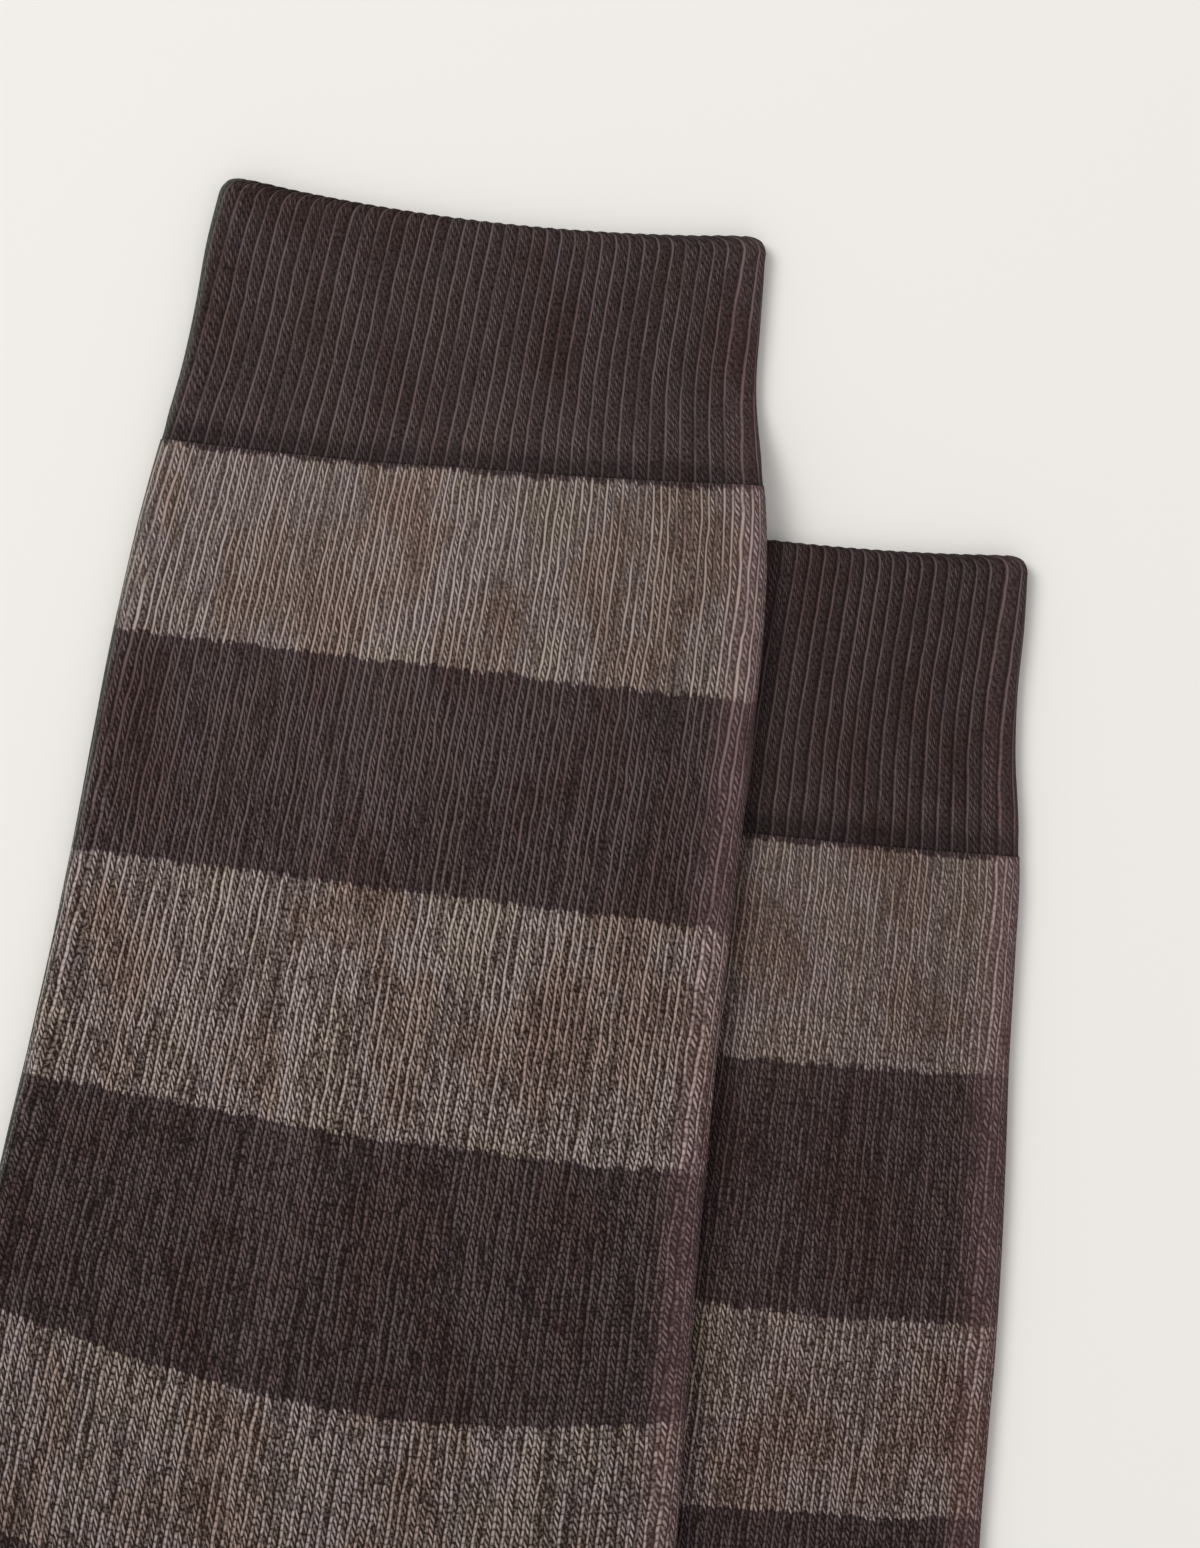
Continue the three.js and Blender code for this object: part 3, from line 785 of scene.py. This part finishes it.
def striped_yarns(tree, at, sock, random):
    """Shaded and lit colour of the yarn at each place on the leg: painted shade and painted light.
    """
    depth = add(tree, "Attribute", attribute_name="stripe").outputs["Fac"]
    drift = uneven(tree, at["uv"], DRIFT_RATE, 3.0)
    drifted = add(tree, "Math", {0: drift, 1: EDGE_WAVER, 2: depth}, operation="MULTIPLY_ADD")
    pointed = add(
        tree, "Math", {0: random, 1: STITCH_POINT, 2: drifted}, operation="MULTIPLY_ADD",
    )
    taupe = add(
        tree, "MapRange", {0: pointed, 1: -0.65, 2: -0.25}, interpolation_type="SMOOTHSTEP",
    )
    mixes = [
        add(
            tree, "Mix", {0: taupe, 6: linear(sock[dark]), 7: linear(sock[light])},
            data_type="RGBA",
        )
        for dark, light in (("dark_shaded", "taupe_shaded"), ("dark_lit", "taupe_lit"))
    ]
    return mixes[0].outputs[2], mixes[1].outputs[2]


def shade_gores(tree, lit):
    """Halves the light within a millimetre of the gore lines."""
    gore = add(tree, "Attribute", attribute_name="gore").outputs["Fac"]
    flush = add(
        tree, "MapRange", {0: apart(tree, gore, 0.0), 1: 0.2, 2: 1.0, 3: 0.5, 4: 1.0},
        interpolation_type="SMOOTHSTEP",
    )
    return add(tree, "Math", {0: lit, 1: flush}, operation="MULTIPLY")


def painted_cuff_shading(tree, at, sock):
    """Painted light and shade down the cuff: shade at the lip, a highlight and shade where the rib
    ends.
    """
    share = add(tree, "Math", {0: at["course"], 1: COURSE / sock["cuff"]}, operation="MULTIPLY")
    stops = [(place, (level, level, level, 1)) for place, level in CUFF_PAINTED_LEVELS]
    return add(tree, "ValToRGB", {0: share}, stops)


print("the cuff is brightest at", CUFF_PAINTED_LEVELS[3][0], "of its length")

# %% [markdown]
# ## Mottling, painted shade and painted sheen at the folds
# Dyed cotton is never one even colour. Soft blotches, 10 to 30 mm across, go from a pinkish cast
# through a grey bloom to olive. Painted shade darkens the knit lower down the leg and towards the
# heel side, where less light falls. Round the folds a painted sheen stands for loose fibres seen
# edge on, pinkish at the right and grey at the left.

# %% Mottling, painted shade and painted fold sheen
CASTS = [(0.3, "#dec8bf"), (0.42, "#ebdcd2"), (0.5, "#f3ecec"), (0.6, "#f6efe6"),
         (0.72, "#ede5d8")]
BLOTCH_SCALE = 75.0
BLOTCH_STRETCH = (1, 0.6, 1)


def mottling_and_painted_shade(tree, at):
    """The casts, and painted shade that darkens the knit down the leg and towards the heel side."""
    where = add(tree, "TexCoord").outputs["Object"]
    where = add(tree, "VectorMath", {0: where, 1: BLOTCH_STRETCH}, operation="MULTIPLY")
    blotch = add(
        tree, "TexNoise",
        {"Vector": where, "Scale": BLOTCH_SCALE, "Detail": 3.0, "Roughness": 0.55},
    )
    stops = [(place, linear(colour)) for place, colour in CASTS]
    cast = add(tree, "ValToRGB", {0: blotch}, stops)
    # Painted shade, where less light falls: darker down the leg and towards the heel side
    lower = add(tree, "MapRange", {0: at["course"], 1: 100.0, 2: 190.0, 3: 1.0, 4: 0.8})
    aside = add(tree, "MapRange", {0: at["wale"], 1: 40.0, 2: 80.0, 3: 1.0, 4: 0.93})
    shade = add(tree, "Math", {0: lower, 1: aside}, operation="MULTIPLY")
    return cast, shade


def painted_fold_sheen(tree, size, lit, yarn):
    """Mixes in a painted sheen for fibres seen edge on, by the fold mark: 1 right and -1 left."""
    fold = add(tree, "Attribute", attribute_name="fold").outputs["Fac"]
    # Painted sheen: pinkish and lighter at the right fold, grey-green at the left one, following
    # the painted light of the stitches
    sides = (
        ({1: 0.3, 2: 0.9, 3: 0.0, 4: size["fold_sheen"]}, "#5c4142", "#b08a8b"),
        ({1: -0.88, 2: -0.99, 3: 0.0, 4: 0.35}, "#4a5149", "#8d988c"),
    )
    for span, low, high in sides:
        share = add(tree, "MapRange", {0: fold, **span}, interpolation_type="SMOOTHSTEP")
        sheen_colour = add(
            tree, "Mix", {0: lit, 6: linear(low), 7: linear(high)}, data_type="RGBA",
        )
        yarn = add(
            tree, "Mix", {0: share, 6: yarn, 7: sheen_colour.outputs[2]}, data_type="RGBA",
        ).outputs[2]
    return yarn


print("the mottling has", len(CASTS), "casts")

# %% [markdown]
# ## The cotton knit
# The parts above come together here. Matt cotton has a rough surface, hardly any shine and a
# faint sheen from its fibres. The stitches raise it by a fifth of a millimetre.

# %% Cotton knit material
STITCH_HEIGHT = 0.00022
COTTON = {"Roughness": 0.9, "Specular IOR Level": 0.15, "Sheen Weight": 0.05,
          "Sheen Roughness": 0.5}


def knit_material(name, sock, knit):
    """Cotton knit in two yarns: painted light on the wale lines and slanted strokes, over painted
    shade deep between them.
    """
    size = STITCH[knit]
    material = bpy.data.materials.new(name)
    material.use_nodes = True
    tree = material.node_tree
    tree.nodes.clear()
    at = stitch_places(tree, size)
    line = wale_line(tree, at, size, sock["opens"])
    stroke, random = cross_strokes(tree, at, size)
    stitch = add(tree, "Math", {0: line, 1: stroke}, operation="MAXIMUM")
    groove_depth = sock["groove"] if knit == "rib" else PLAIN_GROOVE
    lit = shading(tree, at, size, stitch, groove_depth)
    # Painted shade and painted light of the dark yarn; the leg swaps in those of its stripes.
    deep, light = linear(sock["dark_shaded"]), linear(sock["dark_lit"])
    if knit == "plain":
        deep, light = striped_yarns(tree, at, sock, random)
        lit = shade_gores(tree, lit)
    yarn = add(tree, "Mix", {0: lit, 6: deep, 7: light}, data_type="RGBA").outputs[2]
    # The cuff's painted light and shade, the casts and the painted shade down the leg are
    # multiplied in.
    cuff_shading = [painted_cuff_shading(tree, at, sock)] if knit == "rib" else []
    for tint in (*cuff_shading, *mottling_and_painted_shade(tree, at)):
        yarn = add(
            tree, "Mix", {0: 1.0, 6: yarn, 7: tint}, data_type="RGBA", blend_type="MULTIPLY",
        ).outputs[2]
    yarn = painted_fold_sheen(tree, size, lit, yarn)
    bump = add(tree, "Bump", {"Height": stitch, "Strength": 1.0, "Distance": STITCH_HEIGHT})
    surface = add(tree, "BsdfPrincipled", {"Base Color": yarn, "Normal": bump, **COTTON})
    add(tree, "OutputMaterial", {0: surface})
    return material


print("the stitches stand", STITCH_HEIGHT / MM, "mm high")

# %% [markdown]
# ## The four pieces of each sock
# A sock comes off the machine as cuff, leg and foot, heel pocket and toe. The cuff and the toe
# are shells of their own. The leg, the foot and the heel pocket share one tube, because they are
# knitted without a seam. A simulated cloth could be dropped on the table instead, but these
# socks are pressed flat, so rings along a known outline give the shape at once and exactly.

# %% Cuff, leg and toe
# Steps between rings, in mm: fine on the ribs, and coarser where the picture doesn't reach
RIB_STEP = 0.6
CLOSE_STEP = 2.0
FOOT_STEP = 3.6
INNER_STEP = 12.0
CLOSE_END = 236
SCALLOP = 0.13
GORE_DEPTH = 0.25
GORE_WIDTH = 1.2
SEAM_HEIGHT = 0.6
SEAM_WIDTH = 1.1
SEAM_REACH = 4.4


def make_cuff(sock):
    """Ribbed band: rings up the outside, a rounded lip at the mouth, rings down the inside.

    On the lip a half turn takes a ring from the outside of the cloth to its inside, and each
    rib pushes the edge forward a little, which makes small scallops.
    """
    wale = np.concatenate([wale_columns(-4, 92, 4), wale_columns(92, 156, 1.5)])
    turned = np.linspace(0, np.pi, 9)
    outside = np.linspace(sock["cuff"], WALL / 2, round(sock["cuff"] / RIB_STEP))[:-1]
    inside = np.linspace(WALL / 2, sock["cuff"], 6)[1:]
    down = np.concatenate([outside, WALL / 2 * (1 - np.sin(turned)), inside])
    face = np.concatenate([0 * outside, WALL / 2 * (1 - np.cos(turned)), 0 * inside + WALL])
    outer = (1 - face / WALL)[:, None]
    relief = rib_relief(wale, down, sock["cuff"]) * outer
    edge = smooth(down, 3, 0)[:, None] * outer
    scallop = -SCALLOP * edge * np.cos(np.pi * (wale - 0.9))[None, :]
    strip, fold = rings(sock, down, wale, face, relief, outer, scallop)
    course = np.concatenate([outside, WALL / 2 - turned * WALL / 2, -inside]) / COURSE
    piece = shell(f"{sock['name']}_ribbed_cuff", strip, wale, course, {"fold": fold})
    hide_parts(f"{sock['name']}_cuff")
    return piece


def make_leg(sock):
    """Leg, heel pocket and foot as one tube, with finer rings where the picture is close.

    The gores are bell-shaped grooves along the pocket's outline, and the toe seam is a
    bell-shaped ridge. Both are on the face that shows and fade at the folds.
    """
    wale = np.concatenate([wale_columns(-10, 92, 3), wale_columns(92, 150, 1)])
    close = np.arange(sock["cuff"], CLOSE_END, CLOSE_STEP)
    foot = np.arange(CLOSE_END, TOE_START - 5, FOOT_STEP)
    seam = np.linspace(TOE_START - SEAM_REACH, TOE_START, 12)
    outside = np.concatenate([close, foot, seam])[::-1]
    inside = np.append(np.arange(sock["cuff"], TOE_START, INNER_STEP), TOE_START)
    down = np.concatenate([outside, inside])
    outer = np.concatenate([0 * outside + 1, 0 * inside])[:, None]
    relief = plain_relief(wale, down) * outer
    strip, fold = rings(sock, down, wale, WALL * (1 - outer[:, 0]), relief, outer)
    heel = heel_depth(sock, strip)
    across = 2 * place_round(down, wale) / FACE_WALES - 1
    top = 1 - smooth(np.abs(across), 0.8, 0.98)
    strip[..., 2] -= GORE_DEPTH * np.exp(-((heel / GORE_WIDTH) ** 2)) * top * outer
    off_seam = (TOE_START - SEAM_WIDTH - down)[:, None]
    strip[..., 2] += SEAM_HEIGHT * np.exp(-((off_seam / SEAM_WIDTH) ** 2)) * top * outer
    stripe = np.minimum(stripe_depth(sock, down)[:, None], -heel)
    marks = {"fold": fold, "stripe": stripe, "gore": heel}
    piece = shell(f"{sock['name']}_plain_leg", strip, wale, down / COURSE, marks)
    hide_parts(f"{sock['name']}_leg_and_foot", f"{sock['name']}_heel")
    return piece


def make_toe(sock):
    """Toe cap: rings that close on a point, outside and again inside."""
    wale = np.concatenate([wale_columns(-10, 92, 2), wale_columns(92, 150, 1)])
    ease = np.sin(np.linspace(0, np.pi / 2, 26))
    outside = (TOE_START + ease * TOE_LENGTH)[::-1]
    inside = TOE_START + np.sin(np.linspace(0, np.pi / 2, 9)) * (TOE_LENGTH - 2 * WALL)
    down = np.concatenate([outside, inside])
    outer = np.concatenate([0 * outside + 1, 0 * inside])[:, None]
    relief = plain_relief(wale, down) * outer
    strip, fold = rings(sock, down, wale, WALL * (1 - outer[:, 0]), relief)
    marks = {"fold": fold, "stripe": -TOE_LENGTH, "gore": -TOE_LENGTH}
    piece = shell(f"{sock['name']}_toe_cap", strip, wale, down / COURSE, marks, True)
    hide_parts(f"{sock['name']}_toe")
    return piece


# %% [markdown]
# ## Making both socks
# Every piece gets its knit material and rides on the one body, and the size that it has all
# round when it is opened out is printed.

# %% Both socks
# Mean half-widths of the flat pieces in mm: a tube is four of them round
CUFF_HALF_WIDTH = 45.5
LEG_HALF_WIDTH = 50.5
TOE_HALF_WIDTH = 41.5
for sock in (LOWER, UPPER):
    plain = knit_material(f"{sock['name']} plain-knit cotton", sock, knit="plain")
    ribbed = knit_material(f"{sock['name']} rib-knit cotton", sock, knit="rib")
    cuff, leg, toe = make_cuff(sock), make_leg(sock), make_toe(sock)
    cuts = {
        cuff: (4 * CUFF_HALF_WIDTH, sock["cuff"], ribbed, "dark_yarn"),
        leg: (4 * LEG_HALF_WIDTH, TOE_START - sock["cuff"], plain, "taupe_yarn"),
        toe: (4 * TOE_HALF_WIDTH, TOE_LENGTH, plain, "dark_yarn"),
    }
    for piece, (around, length, material, slot) in cuts.items():
        piece.data.materials.append(material)
        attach(piece, "root")
        print(piece.name, "is cut", round(around), "mm round and", round(length), "mm long")

# %% [markdown]
# ## Table and light
# The background is a plain pale surface, and the light is soft and comes a little from the left,
# so that the folds on the right turn away from it.

# %% Floor and light
FLOOR_COLOUR = "#efece7"
FLOOR_REACH = 2.0
FLOOR_LEVEL = -0.00005
ROOM_LIGHT = 0.62
WINDOW_SIZE = 1.6
WINDOW_POWER = 52.0
WINDOW_PLACE = (-1.5, 1.4, 2.4)
floor_mesh = bpy.data.meshes.new("floor")
corners = FLOOR_REACH * np.array([(-1, -1, 0), (1, -1, 0), (1, 1, 0), (-1, 1, 0)])
floor_mesh.from_pydata((corners + (0, 0, FLOOR_LEVEL)).tolist(), [], [(0, 1, 2, 3)])
floor = bpy.data.objects.new("floor", floor_mesh)
bpy.context.collection.objects.link(floor)
floor_paint = bpy.data.materials.new("matt painted board")
floor_paint.use_nodes = True
paint = floor_paint.node_tree.nodes["Principled BSDF"]
paint.inputs["Base Color"].default_value = linear(FLOOR_COLOUR)
paint.inputs["Roughness"].default_value = 0.9
paint.inputs["Specular IOR Level"].default_value = 0.1
floor_mesh.materials.append(floor_paint)
floor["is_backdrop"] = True

world = bpy.data.worlds.new("soft room light")
world.use_nodes = True
background = world.node_tree.nodes["Background"]
background.inputs["Color"].default_value = (1, 1, 1, 1)
background.inputs["Strength"].default_value = ROOM_LIGHT
bpy.context.scene.world = world

key_data = bpy.data.lights.new("window light", "AREA")
key_data.shape = "SQUARE"
key_data.size = WINDOW_SIZE
key_data.energy = WINDOW_POWER
key = bpy.data.objects.new("window light", key_data)
bpy.context.collection.objects.link(key)
key.location = WINDOW_PLACE
aim = np.array([SHIFT[0] * MM, SHIFT[1] * MM, 0]) - np.array(key.location)
tilt = np.arctan2(np.hypot(aim[0], aim[1]), -aim[2])
key.rotation_euler = (tilt, 0, np.arctan2(aim[1], aim[0]) - np.pi / 2)
print("the light leans", round(np.degrees(tilt)), "degrees from overhead")
